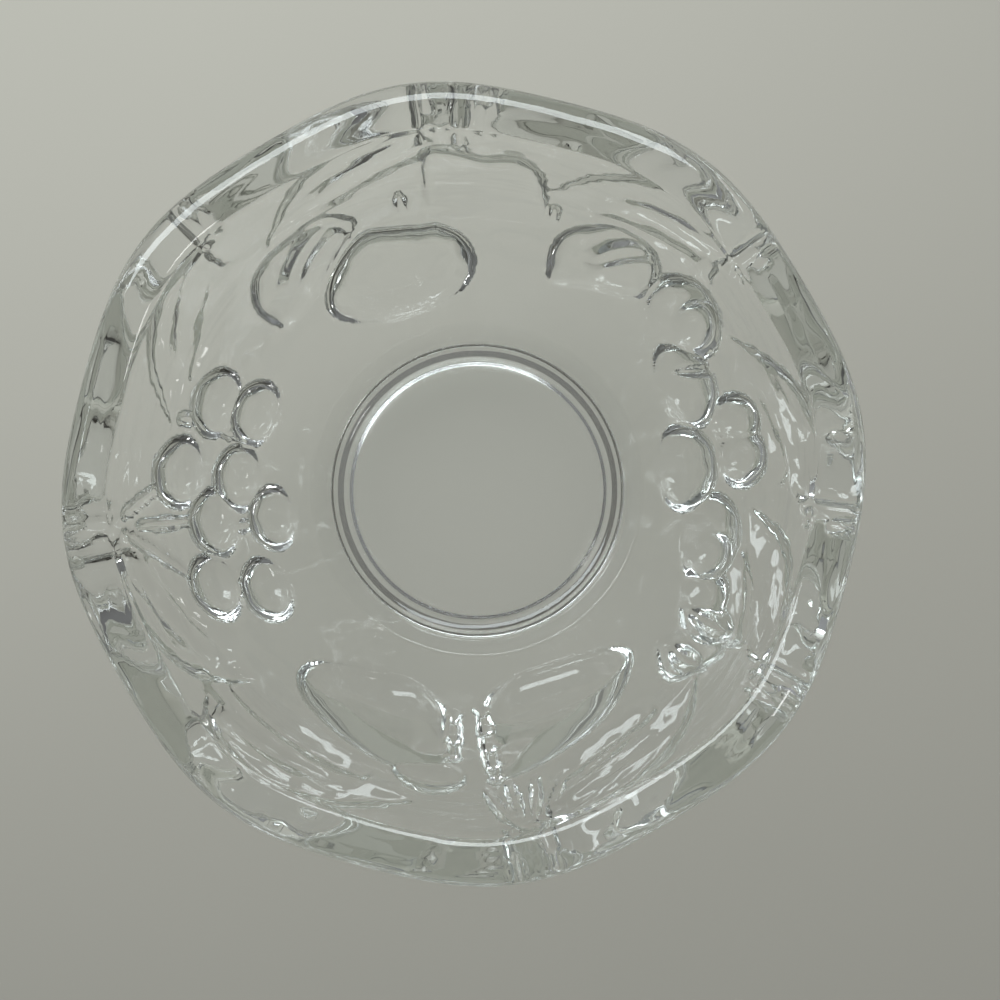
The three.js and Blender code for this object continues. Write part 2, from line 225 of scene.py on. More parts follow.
class BowlSizes(PropertyGroup):
    """Sizes of the glass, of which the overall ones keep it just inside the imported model."""

    height: length("Height", "Foot to rim crest", 53.96 * MM)
    rim_radius: length("Rim radius", "Middle to the crest of a scallop", 51.2 * MM)
    foot_radius: length("Foot radius", "Outside of the ring foot", 25.8 * MM)
    foot_ring: length("Foot ring", "Width of the ring that touches the table", 5.2 * MM)
    foot_corner: length("Foot corner", "Rounding of the foot's edges", 1.8 * MM)
    recess_corner: length("Recess corner", "Rounding of the hollow's edge", 0.7 * MM)
    recess_depth: length("Recess depth", "Depth of the hollow under the foot", 1.5 * MM)
    floor_thickness: length("Floor thickness", "Glass under the candle", 5 * MM)
    floor_corner: length("Floor corner", "Rounding where the floor meets the wall", 1.2 * MM)
    heel_flare: length("Heel flare", "How far the heel stands out from the foot", 0.8 * MM)
    heel_height: length("Heel height", "Where the wall starts", 4 * MM)
    belly_flare: length("Belly flare", "Pull of the wall's curve outwards", 10.8 * MM)
    belly_height: length("Belly height", "Pull of the wall's curve upwards", 18 * MM)
    foot_wall: length("Wall at foot", "Thickness of the wall at the heel", 5.2 * MM)
    rim_wall: length("Wall at rim", "Thickness of the wall at the rim", 6.6 * MM)
    scallop_inset: length("Scallop inset", "How far the rim draws in between crests", 0.8 * MM)
    scallop_dip: length("Scallop dip", "How far the rim dips between crests", 1.1 * MM)
    lip_outer_drop: length("Lip outer drop", "Height of the lip's outer round", 3.0 * MM)
    lip_outer_width: length("Lip outer width", "Width of the lip's outer round", 3.2 * MM)
    lip_inner_drop: length("Lip inner drop", "Height of the lip's inner round", 1.5 * MM)
    scallops: IntProperty(name="Scallops", description="Waves round the rim", default=8)
    scallop_turn: FloatProperty(name="Scallop turn", description="Where a crest lies, in degrees", default=8)
    columns: IntProperty(name="Columns", description="Steps round the glass", default=552)
    wall_rows: IntProperty(name="Wall rows", description="Steps up the wall", default=112)


class ReliefSizes(PropertyGroup):
    """How far each motif of the garland stands out, and its size on the wall."""

    fruit_rise: length("Fruit rise", "Height of a fruit over the wall", 3.3 * MM)
    bud_rise: length("Bud rise", "Height of the bud over the wall", 1.2 * MM)
    leaf_rise: length("Leaf rise", "Height of a leaf over the wall", 2.3 * MM)
    broad_leaf_rise: length("Broad leaf rise", "Height of a broad leaf over the wall", 1.8 * MM)
    leaf_edge: length("Leaf edge", "Width of a leaf's rounded edge at its tip", 3.0 * MM)
    leaf_root_edge: length("Leaf root edge", "Width of that edge at the root", 4.0 * MM)
    broad_leaf_edge: length("Broad leaf edge", "Width of a broad leaf's rounded edge", 2.6 * MM)
    vein_rise: length("Vein rise", "Height of a vein over its leaf", 1.8 * MM)
    vein_half_width: length("Vein half width", "Half the width of a vein", 1.9 * MM)
    fold_height: length("Fold height", "Height of a fold's steep side", 1.8 * MM)
    fold_width: length("Fold width", "Width of that side", 3.5 * MM)
    fold_back: length("Fold back", "Width of a fold's long side", 5.0 * MM)
    stalk_rise: length("Stalk rise", "Height of a stalk over the wall", 1.3 * MM)
    stalk_half_width: length("Stalk half width", "Half the width of a stalk", 1.1 * MM)
    grape_radius: length("Grape radius", "Radius of a grape", 5.5 * MM)
    plum_radius: length("Plum radius", "Radius that the plums' sizes are shares of", 7 * MM)
    apple_shoulder: length("Apple shoulder", "Width of an apple's rounded edge", 6.5 * MM)
    bud_half_width: length("Bud half width", "Half the bud's width", 5.6 * MM)
    bud_half_height: length("Bud half height", "Half the bud's height", 4.0 * MM)
    knot_radius: length("Knot radius", "Radius of a knot of stem", 3.6 * MM)
    stem_half_width: length("Stem half width", "Half the width of the stems between the pears", 1.3 * MM)
    stem_rise: length("Stem rise", "Height of those stems over the wall", 1.8 * MM)
    stem_bead_radius: length("Stem bead radius", "Radius of a bead on those stems", 1.2 * MM)
    mark_size: length("Mark size", "Height of a mark, of which its other sizes are shares", 1.2 * MM)
    grain_size: length("Grain size", "Size of the unevenness on the edges of the relief", 4.5 * MM)
    grain_height: length("Grain height", "Height of that unevenness", 0.06 * MM)
    leaf_half_width: length("Leaf half width", "Half a leaf's width", 6.0 * MM)
    pear_shoulder: length("Pear shoulder", "Width of a pear's rounded edge", 8 * MM)
    cleft_depth: length("Cleft depth", "Depth of the groove in a plum", 1.0 * MM)
    cleft_half_width: length("Cleft half width", "Half the width of that groove", 1.0 * MM)


class GlassFinish(PropertyGroup):
    """The look of the glass."""

    tint: colour("Tint", "Colour of the glass", (0.985, 0.99, 0.987))
    depth_tint: colour("Depth tint", "Colour that thick glass takes", (0.86, 0.90, 0.88))
    depth_density: FloatProperty(name="Depth density", description="Strength of that colour", default=16)
    index: FloatProperty(name="Index", description="Index of refraction", default=1.52)
    wave_size: length("Wave size", "Size of the faint waves left by the mould", 8 * MM)
    wave_height: length("Wave height", "Height of those waves", 0.1 * MM)
    flow_size: length("Flow size", "Distance of the flow lines round the rim", 2.4 * MM)
    flow_height: length("Flow height", "Height of those lines", 0.22 * MM)
    flow_bottom: length("Flow bottom", "Height over the table where they begin", 37 * MM)
    flow_top: length("Flow top", "Height over the table where they are full", 46 * MM)
    scuff: FloatProperty(name="Scuff", description="Roughness of the worn foot ring", default=0.35)
    scuff_size: length("Scuff size", "Size of the scratches on that ring", 0.6667 * MM)
    scuff_top: length("Scuff top", "Height over the table that the scratches reach", 0.1 * MM)
    edge_shade: colour("Edge shade", "Light for the floor that passes glass seen edge on", (0.7, 0.7, 0.7))
    edge_power: FloatProperty(name="Edge power", description="How close to the edge it keeps", default=4)
    kept_mirrorings: FloatProperty(
        name="Kept mirrorings", description="Mirrorings after which a ray runs straight on", default=2.5)
    trapped_shade: colour("Trapped shade", "Light that such a ray keeps at each face", (0.93, 0.93, 0.92))


class StageSettings(PropertyGroup):
    """Floor, lights, room and camera."""

    floor_tint: colour("Floor", "Colour of the floor", (0.45, 0.425, 0.37))
    floor_shade: FloatProperty(name="Floor shade", description="Share of it in darker mottles", default=0.97)
    floor_roughness: FloatProperty(name="Floor roughness", description="Roughness of the floor", default=0.75)
    floor_gloss: FloatProperty(name="Floor gloss", description="Mirror share of the floor", default=0.2)
    floor_size: length("Floor size", "Side of the floor", 3.0)
    mottle_size: length("Mottle size", "Size of the mottles", 71.43 * MM)
    window_power: wattage("Window", "Power of the window light", 1.27)
    window_size: two_lengths("Window size", "Width and height of the window", (440 * MM, 120 * MM))
    window_place: position("Window place", "Middle of the window", (-70 * MM, 200 * MM, 270 * MM))
    window_tint: colour("Window tint", "Colour of the window light", (0.9, 0.975, 1.0))
    lamp_power: wattage("Lamp", "Power of the small lamp", 0.07)
    lamp_size: two_lengths("Lamp size", "Width and height of the lamp", (60 * MM, 40 * MM))
    lamp_place: position("Lamp place", "Middle of the lamp", (170 * MM, -100 * MM, 320 * MM))
    lamp_tint: colour("Lamp tint", "Colour of the lamp's light", (1, 1, 1))
    sky: FloatProperty(name="Sky", description="Strength of the room light", default=0.22)
    room_bright: colour("Bright side", "Colour of the room's bright side", (1.5, 1.55, 1.6))
    room_dark: colour("Dark side", "Colour of the room's dark side", (0.12, 0.105, 0.08))
    room_dark_share: FloatProperty(
        name="Dark share", description="Share of the room's depth that is all dark", default=0.1)
    room_way: FloatVectorProperty(
        name="Bright way", description="Where the bright side lies", subtype="DIRECTION",
        default=(-0.45, 0.75, 0.5))
    camera_place: position("Camera place", "Where the camera is", (10.2 * MM, -4.9 * MM, 228.3 * MM))
    camera_aim: position("Camera aim", "What the camera looks at", (3.5 * MM, -1.5 * MM, 0))
    lens: FloatProperty(name="Lens", description="Focal length in millimetres", default=50.4)
    sensor: FloatProperty(name="Sensor", description="Width of the sensor in millimetres", default=36)
    nearest: length("Nearest", "Closest distance that the camera sees", 5 * MM)


class WallCurve:
    """The outer face of the wall: a bent line from the heel to the shoulder, read by shares of its length."""

    SAMPLES = 2001

    def __init__(self, sizes):
        heel = np.array((sizes.foot_radius + sizes.heel_flare, sizes.heel_height))
        pull = np.array((sizes.foot_radius + sizes.belly_flare, sizes.belly_height))
        shoulder = np.array((sizes.rim_radius, sizes.height - sizes.lip_outer_drop))
        t = np.linspace(0, 1, self.SAMPLES)[:, None]
        self.points = (1 - t) ** 2 * heel + 2 * t * (1 - t) * pull + t ** 2 * shoulder
        slope = 2 * (1 - t) * (pull - heel) + 2 * t * (shoulder - pull)
        slope /= np.linalg.norm(slope, axis=1)[:, None]
        self.normals = np.stack((slope[:, 1], -slope[:, 0]), axis=1)
        steps = np.linalg.norm(np.diff(self.points, axis=0), axis=1)
        run = np.concatenate(((0.0,), np.cumsum(steps)))
        self.length = run[-1]
        self.shares = run / self.length

    def read(self, table, share):
        """Both columns of a table at the given shares."""
        share = np.clip(share, 0, 1)
        return np.stack([np.interp(share, self.shares, table[:, i]) for i in (0, 1)], axis=-1)

    def point(self, share, lift=0.0):
        """Radius and height on the wall, lifted out of the glass."""
        return self.read(self.points, share) + self.read(self.normals, share) * np.asarray(lift)[..., None]

    def radius(self, share):
        return self.point(share)[..., 0]

    def share_at(self, z):
        return np.interp(z, self.points[:, 1], self.shares)

    def inside(self, share, sizes):
        """Radius and height on the inner face, straight through the glass."""
        thickness = sizes.foot_wall + (sizes.rim_wall - sizes.foot_wall) * np.asarray(share)
        return self.point(share, -thickness)

    def inside_share_at(self, z, sizes):
        """The share whose inner point lies at height z."""
        return np.interp(z, self.inside(self.shares, sizes)[:, 1], self.shares)


def quarter_round(start, corner, end, steps):
    """Points of a quarter of an ellipse from start to end, bulging towards corner."""
    start, corner, end = (np.asarray(p, float) for p in (start, corner, end))
    angles = np.linspace(0, QUARTER_TURN, steps + 1)[:, None]
    return corner + (start - corner) * (1 - np.sin(angles)) + (end - corner) * (1 - np.cos(angles))


def pulled(start, pull, end, steps):
    """Points of a bent line from start to end, drawn towards pull."""
    start, pull, end = (np.asarray(p, float) for p in (start, pull, end))
    t = np.linspace(0, 1, steps + 1)[:, None]
    return (1 - t) ** 2 * start + 2 * t * (1 - t) * pull + t ** 2 * end


def bowl_profile(sizes, wall):
    """The half section of the glass, from the axis under the foot to the axis on the candle floor."""
    recess_radius = sizes.foot_radius - sizes.foot_ring
    corner = sizes.foot_corner
    depth = sizes.recess_depth
    floor = depth + sizes.floor_thickness
    ring_middle = (recess_radius + sizes.foot_radius) / 2
    lip_top = (sizes.rim_radius - sizes.lip_outer_width, sizes.height)
    top_share = wall.inside_share_at(sizes.height - sizes.lip_inner_drop, sizes)
    low_share = wall.inside_share_at(floor + sizes.floor_corner, sizes)
    inside = wall.inside(np.linspace(top_share, low_share, INSIDE_STEPS + 1), sizes)
    foot = inside[-1]
    flat = foot[0] - 2 * sizes.floor_corner
    shoulder = wall.point(np.array(1.0))
    outside = wall.point(np.linspace(HEEL_COVE_SHARE, 1, sizes.wall_rows + 1)[:-1])
    rise = outside[1] - outside[0]
    cove = (sizes.foot_radius, outside[0][1] - (outside[0][0] - sizes.foot_radius) * rise[1] / rise[0])
    rows = [
        np.array([[0, depth], [recess_radius / 2, depth]]),
        quarter_round((recess_radius - 2 * sizes.recess_corner, depth), (recess_radius, depth),
                      (recess_radius, depth - sizes.recess_corner), CORNER_STEPS),
        quarter_round((recess_radius, sizes.recess_corner), (recess_radius, 0), (ring_middle - corner / 2, 0),
                      CORNER_STEPS),
        quarter_round((ring_middle + corner / 2, 0), (sizes.foot_radius, 0), (sizes.foot_radius, corner),
                      CORNER_STEPS),
        pulled((sizes.foot_radius, corner), cove, outside[0], COVE_STEPS)[1:-1],
        outside,
        quarter_round(shoulder, (shoulder[0], sizes.height), lip_top, LIP_STEPS),
        quarter_round(lip_top, (inside[0][0], sizes.height), inside[0], LIP_STEPS)[1:-1],
        inside,
        quarter_round(foot, (foot[0] - sizes.floor_corner / 2, floor), (flat, floor), CORNER_STEPS)[1:],
        np.array([[flat / 2, floor], [0, floor]]),
    ]
    return np.concatenate(rows)


def bulge(along):
    """A width along a line: 0 at both ends and 1 halfway, with round ends."""
    return np.sqrt(np.clip(4 * along * (1 - along), 0, 1))


class Relief:
    """The garland's height over the wall, gathered motif by motif at every point of a grid."""

    def __init__(self, turn, share, wall):
        self.turn = turn
        self.share = share
        self.wall = wall
        self.radius = wall.radius(share)
        self.lift = np.zeros_like(turn)

    def near(self, turn, share):
        """Distances from a place on the wall, round it and up it."""
        away = (self.turn - turn + 180) % 360 - 180
        return np.radians(away) * self.radius, (self.share - share) * self.wall.length

    def swell(self, depth, rise, shoulder, power=0.5):
        """Raises the wall where depth is positive, with a shoulder of that width, round at a low power."""
        t = np.clip(depth / shoulder, 0, 1)
        self.lift = np.maximum(self.lift, rise * (1 - (1 - t) ** 2) ** power)

    def fruit(self, place, half_width, half_height, rise):
        """A rounded fruit, bead or lump."""
        x, y = self.near(*place)
        q = np.hypot(x / half_width, y / half_height)
        self.lift = np.maximum(self.lift, rise * np.sqrt(np.clip(1 - q ** 2, 0, 1)))

    def beads(self, line, count, radius):
        """A row of beads along a bowed line, on top of what is there."""
        for place in pulled(*line, count - 1):
            x, y = self.near(*place)
            self.lift += radius * np.sqrt(np.clip(1 - (x ** 2 + y ** 2) / radius ** 2, 0, 1))

    def grain(self, size, height, top):
        """Unevenness where the relief climbs from the wall to its top."""
        climb = np.clip(self.lift / top, 0, 1)
        x = np.radians(self.turn) * self.wall.radius(0.5)
        y = self.share * self.wall.length
        wave = FULL_TURN / size
        first, second, third = (np.sin(wave * (across * x + up * y)) for across, up in GRAIN_LEANS)
        self.lift += height * 4 * climb * (1 - climb) * (first + second * third)

    def knot(self, place, radius):
        """A knot of stem: lumps on a spiral round its middle."""
        middle = float(self.wall.radius(np.array(place[1])))
        largest, smallest = LUMP_SIZE_SHARES
        for i in range(KNOT_LUMPS):
            way = math.radians(i * LUMP_TURN)
            reach = radius * math.sqrt(i / KNOT_LUMPS)
            size = radius * (largest + (smallest - largest) * i / KNOT_LUMPS)
            turn = place[0] + math.degrees(reach * math.cos(way) / middle)
            self.fruit((turn, place[1] + reach * math.sin(way) / self.wall.length), size, size, size)

    def beside(self, line):
        """Where each grid point lies along a bowed line, as a share, and how far to its left."""
        spine = pulled(*line, LINE_STEPS)
        middle = spine[LINE_STEPS // 2]
        scale = math.radians(1) * float(self.wall.radius(np.array(middle[1])))
        flat = np.stack(((spine[:, 0] - middle[0]) * scale, (spine[:, 1] - middle[1]) * self.wall.length), 1)
        x, y = self.near(*middle)
        x = x * scale / (math.radians(1) * self.radius)
        best = np.full(x.shape, np.inf)
        along = np.zeros_like(x)
        aside = np.zeros_like(x)
        run = np.concatenate(((0.0,), np.cumsum(np.linalg.norm(np.diff(flat, axis=0), axis=1))))
        for i in range(LINE_STEPS):
            step = flat[i + 1] - flat[i]
            size = np.linalg.norm(step)
            u = np.clip(((x - flat[i, 0]) * step[0] + (y - flat[i, 1]) * step[1]) / size ** 2, 0, 1)
            dx = x - flat[i, 0] - u * step[0]
            dy = y - flat[i, 1] - u * step[1]
            gap = np.hypot(dx, dy)
            closer = gap < best
            best = np.where(closer, gap, best)
            along = np.where(closer, (run[i] + u * size) / run[-1], along)
            aside = np.where(closer, np.sign(step[0] * dy - step[1] * dx) * gap, aside)
        return along, aside

    def ridge(self, line, half_width):
        """The rounded section of a strip that thins out to both ends: 1 on the line and 0 at its sides."""
        along, aside = self.beside(line)
        return np.clip(1 - (aside / (half_width * bulge(along) + LEAST_WIDTH)) ** 2, 0, 1)

    def vein(self, line, sizes):
        """A vein on a broad leaf."""
        self.lift += sizes.vein_rise * self.ridge(line, sizes.vein_half_width)

    def groove(self, line, half_width, depth):
        """A groove in what stands out of the wall."""
        self.lift = np.maximum(self.lift - depth * self.ridge(line, half_width), 0)

    def stalk(self, line, half_width, rise):
        """A stalk: a raised strip with rounded edges."""
        along, aside = self.beside(line)
        self.swell(half_width * bulge(along) - np.abs(aside), rise, half_width)

    def leaf(self, line, sizes):
        """A leaf under the rim, which stands out at its upper edge and runs into the wall at the lower."""
        along, aside = self.beside(line)
        width = sizes.leaf_half_width * bulge(along) * (1 - along ** 3) + LEAST_WIDTH
        slant = np.clip((width + aside) / (2 * width), 0, 1)
        edge = sizes.leaf_root_edge + (sizes.leaf_edge - sizes.leaf_root_edge) * along
        self.swell(width - aside, sizes.leaf_rise * slant, edge, 1)
        fade = np.clip(1 - along / LEAF_LINE_END_SHARE, 0, 1) * (slant > 0)
        for side in LEAF_LINE_SHARES:
            crest = np.clip(1 - ((aside - side * width) / sizes.vein_half_width) ** 2, 0, 1)
            self.lift += sizes.vein_rise * crest * fade

    def folds(self, lines, sizes):
        """Folds on what is there, each through its three points, steep on the left and long on the right."""
        layer = np.zeros_like(self.lift)
        for start, middle, end, size in lines:
            bow = 2 * np.array(middle) - (np.array(start) + np.array(end)) / 2
            along, aside = self.beside((start, bow, end))
            width = sizes.fold_width * size
            steep = np.clip(1 / 2 - aside / width, 0, 1)
            back = np.clip(1 + (aside + width / 2) / sizes.fold_back, 0, 1) ** 2
            layer = np.maximum(layer, sizes.fold_height * size * bulge(along) * steep * back)
        self.lift += layer

    def outlined(self, middle, outline, rise, shoulder, neck=None):
        """A fruit with a drawn outline, which sinks into the wall between the neck's two shares."""
        ring = smooth_loop(np.array(outline, float), OUTLINE_STEPS)
        rx = np.radians(ring[:, 0] - middle[0]) * self.wall.radius(ring[:, 1])
        ry = (ring[:, 1] - middle[1]) * self.wall.length
        x, y = self.near(*middle)
        close = np.hypot(x, y) < np.hypot(rx, ry).max()
        px, py = x[close], y[close]
        gap = np.full(px.shape, np.inf)
        inside = np.zeros(px.shape, bool)
        for i in range(len(rx)):
            ax, ay, bx, by = rx[i - 1], ry[i - 1], rx[i], ry[i]
            dx, dy = bx - ax, by - ay
            u = np.clip(((px - ax) * dx + (py - ay) * dy) / (dx * dx + dy * dy), 0, 1)
            gap = np.minimum(gap, np.hypot(px - ax - u * dx, py - ay - u * dy))
            crosses = (ay > py) != (by > py)
            left = px < ax + (py - ay) * dx / (dy or LEAST_WIDTH)
            inside ^= crosses & left
        depth = np.zeros_like(x)
        depth[close] = np.where(inside, gap, 0)
        if neck:
            rise = rise * np.clip((neck[0] - self.share) / (neck[0] - neck[1]), 0, 1)
        self.swell(depth, rise, shoulder)


def smooth_loop(points, steps):
    """A closed smooth line through points, with that many steps between them."""
    out = []
    n = len(points)
    for i in range(n):
        p0, p1, p2, p3 = (points[(i + k) % n] for k in (-1, 0, 1, 2))
        for s in range(steps):
            t = s / steps
            out.append(0.5 * (2 * p1 + (p2 - p0) * t + (2 * p0 - 5 * p1 + 4 * p2 - p3) * t ** 2
                              + (3 * p1 - p0 - 3 * p2 + p3) * t ** 3))
    return np.array(out)


def garland(turn, share, wall, sizes):
    """The whole garland's height at each grid point, fading out under the lip."""
    relief = Relief(turn, share, wall)
    for line in LEAF_SHARES:
        relief.leaf(line, sizes)
    for middle, rise, outline in BROAD_LEAF_SHARES:
        relief.outlined(middle, outline, sizes.broad_leaf_rise * rise, sizes.broad_leaf_edge)
    for line in VEIN_SHARES:
        relief.vein(line, sizes)
    relief.folds(FOLD_SHARES, sizes)
    for line in STALK_SHARES:
        relief.stalk(line, sizes.stalk_half_width, sizes.stalk_rise)
    for place in GRAPE_SHARES:
        relief.fruit(place, sizes.grape_radius, sizes.grape_radius, sizes.fruit_rise)
    for *place, width_share, height_share, rise_share in PLUM_SHARES:
        relief.fruit(
            place, sizes.plum_radius * width_share, sizes.plum_radius * height_share,
            sizes.fruit_rise * rise_share)
    for middle, neck, outline in APPLE_SHARES:
        relief.outlined(middle, outline, sizes.fruit_rise, sizes.apple_shoulder, neck)
    for line in CLEFT_SHARES:
        relief.groove(line, sizes.cleft_half_width, sizes.cleft_depth)
    relief.grain(sizes.grain_size, sizes.grain_height, sizes.fruit_rise)
    for middle, neck, outline in PEAR_SHARES:
        relief.outlined(middle, outline, sizes.fruit_rise, sizes.pear_shoulder, neck)
    for place in BUD_SHARES:
        relief.fruit(place, sizes.bud_half_width, sizes.bud_half_height, sizes.bud_rise)
    for place, width_share, height_share in MARK_SHARES:
        relief.fruit(place, sizes.mark_size * width_share, sizes.mark_size * height_share, sizes.mark_size)
    for line, count in STEM_SHARES:
        relief.stalk(line, sizes.stem_half_width, sizes.stem_rise)
        relief.beads(line, count, sizes.stem_bead_radius)
    for place in KNOT_SHARES:
        relief.knot(place, sizes.knot_radius)
    # Nothing stands out past the shoulder
    space = np.maximum(wall.radius(1.0) - relief.radius, 0) / wall.read(wall.normals, share)[..., 0]
    return np.minimum(relief.lift, space) * np.clip((1 - share) / LIP_FADE_SHARE, 0, 1)


def scallop(points, sizes):
    """Draws the rim in and down between its crests, fading out down the wall."""
    turn = np.arctan2(points[:, 1], points[:, 0])
    hollow = (1 - np.cos(sizes.scallops * (turn - math.radians(sizes.scallop_turn)))) / 2
    fade = np.clip((points[:, 2] - sizes.belly_height) / (sizes.height - sizes.belly_height), 0, 1)
    fade = fade * fade * (3 - 2 * fade)
    radius = np.hypot(points[:, 0], points[:, 1])
    drawn = 1 - sizes.scallop_inset * hollow * fade / np.maximum(radius, MM)
    points[:, 0] *= drawn
    points[:, 1] *= drawn
    points[:, 2] -= sizes.scallop_dip * hollow * fade
    return points


def deselect_all():
    for o in bpy.context.selected_objects:
        o.select_set(False)


def spun(name, profile, columns):
    """A closed shape turned from a half section: one corner is extruded along it, and the line is spun."""
    deselect_all()
    bpy.ops.mesh.primitive_plane_add(size=MM, location=(0, 0, 0))
    piece = bpy.context.active_object
    piece.name = name
    bpy.ops.object.mode_set(mode="EDIT")
    bpy.ops.mesh.select_all(action="SELECT")
    bpy.ops.mesh.merge(type="CENTER")
    bpy.ops.transform.translate(value=(profile[0][0], 0, profile[0][1]))
    for start, end in zip(profile[:-1], profile[1:]):
        step = end - start
        bpy.ops.mesh.extrude_region_move(TRANSFORM_OT_translate={"value": (step[0], 0, step[1])})
    bpy.ops.mesh.select_all(action="SELECT")
    bpy.ops.mesh.spin(steps=columns, angle=FULL_TURN, center=(0, 0, 0), axis=(0, 0, 1))
    bpy.ops.mesh.select_all(action="SELECT")
    bpy.ops.mesh.remove_doubles(threshold=SAME_PLACE / 2)
    bpy.ops.mesh.normals_make_consistent(inside=False)
    bpy.ops.object.mode_set(mode="OBJECT")
    return piece


class CANDLE_OT_glass(Operator):
    """Spins the bowl, raises the garland on its outer wall and waves its rim"""

    bl_idname = "candle.glass"
    bl_label = "Glass bowl"

    def execute(self, context):
        sizes = context.scene.candle_holder_bowl
        wall = WallCurve(sizes)
        piece = spun("pressed_glass_bowl", bowl_profile(sizes, wall), sizes.columns)
        mesh = piece.data
        points = np.empty(len(mesh.vertices) * 3)
        mesh.vertices.foreach_get("co", points)
        points = points.reshape(-1, 3)
        radius = np.hypot(points[:, 0], points[:, 1])
        share = wall.share_at(points[:, 2])
        outer = np.abs(radius - wall.radius(share)) < SAME_PLACE
        outer &= share > HEEL_COVE_SHARE - SAME_SHARE
        outer &= points[:, 2] < sizes.height - sizes.lip_outer_drop + SAME_PLACE
        turn = np.degrees(np.arctan2(points[outer, 1], points[outer, 0])) % 360
        lift = garland(turn, share[outer], wall, context.scene.candle_holder_relief)
        raised = wall.point(share[outer], lift)
        points[outer, 0] = raised[:, 0] * np.cos(np.radians(turn))
        points[outer, 1] = raised[:, 0] * np.sin(np.radians(turn))
        points[outer, 2] = raised[:, 1]
        mesh.vertices.foreach_set("co", scallop(points, sizes).ravel())
        mesh.update()
        deselect_all()
        piece.select_set(True)
        context.view_layer.objects.active = piece
        bpy.ops.object.shade_smooth()
        mesh.materials.append(clear_glass(context.scene.candle_holder_finish))
        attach(piece, "root")
        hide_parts(NODE)
        return {"FINISHED"}


class Sock:
    """A shader value that can be added to, taken from, multiplied, raised and compared."""

    def __init__(self, tree, socket):
        self.tree = tree
        self.socket = socket

    def maths(self, operation, a, b):
        node = self.tree.nodes.new("ShaderNodeMath")
        node.operation = operation
        for slot, value in zip(node.inputs, (a, b)):
            if isinstance(value, Sock):
                self.tree.links.new(value.socket, slot)
            else:
                slot.default_value = value
        return Sock(self.tree, node.outputs[0])

    def __add__(self, other):
        return self.maths("ADD", self, other)

    def __radd__(self, other):
        return self.maths("ADD", other, self)

    def __sub__(self, other):
        return self.maths("SUBTRACT", self, other)

    def __rsub__(self, other):
        return self.maths("SUBTRACT", other, self)

    def __mul__(self, other):
        return self.maths("MULTIPLY", self, other)

    def __rmul__(self, other):
        return self.maths("MULTIPLY", other, self)

    def power(self, other):
        return self.maths("POWER", self, other)

    def __lt__(self, other):
        return self.maths("LESS_THAN", self, other)

    def __gt__(self, other):
        return self.maths("GREATER_THAN", self, other)


class Shader:
    """A node tree, with one method that adds any node."""

    def __init__(self, owner):
        owner.use_nodes = True
        self.tree = owner.node_tree
        self.tree.nodes.clear()

    def node(self, kind, values=None, settings=None, output=0):
        """Adds a node with values or links for its sockets, by name or number. Gives an output, if any."""
        node = self.tree.nodes.new(kind)
        for key, value in (settings or {}).items():
            setattr(node, key, value)
        for key, value in (values or {}).items():
            if isinstance(value, Sock):
                self.tree.links.new(value.socket, node.inputs[key])
            else:
                node.inputs[key].default_value = value
        return Sock(self.tree, node.outputs[output]) if node.outputs else None

    def noise(self, place, scale, detail):
        return self.node("ShaderNodeTexNoise", {"Vector": place, "Scale": scale, "Detail": detail})

    def bump(self, height, distance, **values):
        return self.node("ShaderNodeBump", {"Distance": distance, "Height": height, **values})

    def see_through(self, tint):
        return self.node("ShaderNodeBsdfTransparent", {"Color": (*tint, 1)})

    def mixed(self, share, first, second):
        return self.node("ShaderNodeMixShader", {0: share, 1: first, 2: second})


def clear_glass(finish):
    """Clear pressed glass: faint mould waves, flow lines round the rim, and a worn foot ring."""
    material = bpy.data.materials.new("clear_pressed_glass")
    s = Shader(material)
    place = s.node("ShaderNodeTexCoord", output="Object")
    height = s.node("ShaderNodeSeparateXYZ", {"Vector": place}, output="Z")
    waves = s.bump(s.noise(place, 1 / finish.wave_size, 1), finish.wave_height)
    across = FLOW_STRETCH / finish.flow_size
    drawn = s.node("ShaderNodeMapping", {"Vector": place, "Scale": (across, across, 1 / finish.flow_size)})
    near_rim = s.node(
        "ShaderNodeMapRange", {"Value": height, "From Min": finish.flow_bottom, "From Max": finish.flow_top},
        {"interpolation_type": "SMOOTHSTEP"})
    flow = s.bump(s.noise(drawn, 1, 1) * near_rim, finish.flow_height, Normal=waves)
    worn = height < finish.scuff_top
    glass = s.node("ShaderNodeBsdfPrincipled", {
        "Base Color": (*finish.tint, 1),
        "Roughness": worn * s.noise(place, 1 / finish.scuff_size, 3) * finish.scuff,
        "IOR": finish.index,
        "Transmission Weight": 1,
        "Normal": flow,
    })
    # Light for the floor passes straight through, dimmed where the glass is seen edge on, and a ray that
    # is mirrored to and fro in the glass leaves it straight on
    edge_on = s.node("ShaderNodeLayerWeight", output="Facing").power(finish.edge_power)
    passing = s.mixed(edge_on, s.see_through((1, 1, 1)), s.see_through(finish.edge_shade))
    trapped = s.node("ShaderNodeLightPath", output="Glossy Depth") > finish.kept_mirrorings
    seen = s.mixed(trapped, glass, s.see_through(finish.trapped_shade))
    unseen = s.node("ShaderNodeLightPath", output="Is Shadow Ray") + s.node(
        "ShaderNodeLightPath", output="Is Diffuse Ray")
    depth = s.node("ShaderNodeVolumeAbsorption", {
        "Color": (*finish.depth_tint, 1), "Density": finish.depth_density})
    s.node("ShaderNodeOutputMaterial", {"Surface": s.mixed(unseen, seen, passing), "Volume": depth})
    return material


